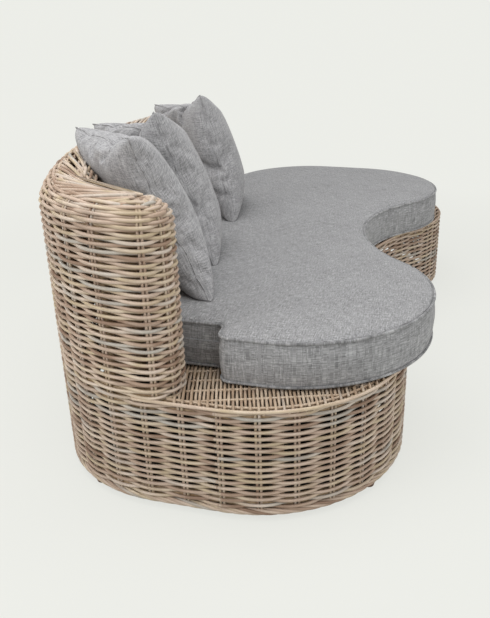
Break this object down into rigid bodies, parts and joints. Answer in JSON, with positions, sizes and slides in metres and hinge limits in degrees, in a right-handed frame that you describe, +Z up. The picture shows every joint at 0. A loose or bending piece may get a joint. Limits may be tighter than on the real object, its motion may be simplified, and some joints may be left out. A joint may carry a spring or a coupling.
{
  "type": "garden sofa",
  "caption": "Kidney-shaped woven garden sofa with a wrap-round back open at one end, a piped seat cushion and loose back pillows.",
  "frame": {"origin": "on the floor, midway between the rear of the woven frame and the foremost piping of the seat cushion, and midway along the frame", "axes": "+X along the sofa from the end that the back wraps round to the open end; -Y out of the open front; +Z up"},
  "size_m": [2.2, 1.2013, 0.8836],
  "materials": {
    "rattan_pole": "sanded bent rattan pole",
    "foot": "dark stained wood",
    "screw": "plain zinc",
    "wicker": "weathered split rattan, matt",
    "deck_wicker": "weathered rattan, matt",
    "cushion_fabric": "heathered grey linen weave",
    "piping": "grey piping in the cushion's cloth",
    "pillow_fabric": "heathered grey linen weave",
    "foam": "open-cell foam",
    "fill": "polyester fibre",
    "zip": "nylon coil zip"
  },
  "bodies": {
    "root": {"feet": "foot", "foot_screws": "screw", "floor_ring": "rattan_pole", "base_posts": "rattan_pole", "seat_ring": "rattan_pole", "ring_screws": "screw", "seat_slats": "rattan_pole", "front_bearer": "rattan_pole", "rear_bearer": "rattan_pole", "bearer_legs": "rattan_pole", "sill_rail": "rattan_pole", "crest_rail": "rattan_pole", "back_posts_outer": "rattan_pole", "back_posts_inner": "rattan_pole", "back_end_posts": "rattan_pole", "back_ties": "rattan_pole", "bottom_braid": "wicker", "base_weave": "wicker", "rim_strand": "wicker", "seat_deck_weave": "deck_wicker", "back_weave_outer": "wicker", "back_weave_inner": "wicker", "back_weave_near_end": "wicker", "back_weave_far_end": "wicker", "back_weave_crest": "wicker"},
    "seat_cushion": {"seat_cushion_cover": "cushion_fabric", "seat_cushion_foam": "foam", "seat_piping_top": "piping", "seat_piping_bottom": "piping", "seat_zip": "zip"},
    "near_pillow": {"near_pillow_cover": "pillow_fabric", "near_pillow_fill": "fill", "near_pillow_zip": "zip"},
    "middle_pillow": {"middle_pillow_cover": "pillow_fabric", "middle_pillow_fill": "fill", "middle_pillow_zip": "zip"},
    "far_pillow": {"far_pillow_cover": "pillow_fabric", "far_pillow_fill": "fill", "far_pillow_zip": "zip"}
  },
  "joints": [
    {"name": "seat_cushion_lift", "type": "slide", "parent": "root", "child": "seat_cushion", "axis": [0, 0, 1], "range_m": [0, 0.5]},
    {"name": "near_pillow_lift", "type": "slide", "parent": "seat_cushion", "child": "near_pillow", "axis": [-0.2695, 0.0289, 0.9626], "range_m": [0, 0.5]},
    {"name": "middle_pillow_lift", "type": "slide", "parent": "seat_cushion", "child": "middle_pillow", "axis": [0, 0, 1], "range_m": [0, 0.5]},
    {"name": "far_pillow_lift", "type": "slide", "parent": "seat_cushion", "child": "far_pillow", "axis": [0, 0, 1], "range_m": [0, 0.5]}
  ]
}
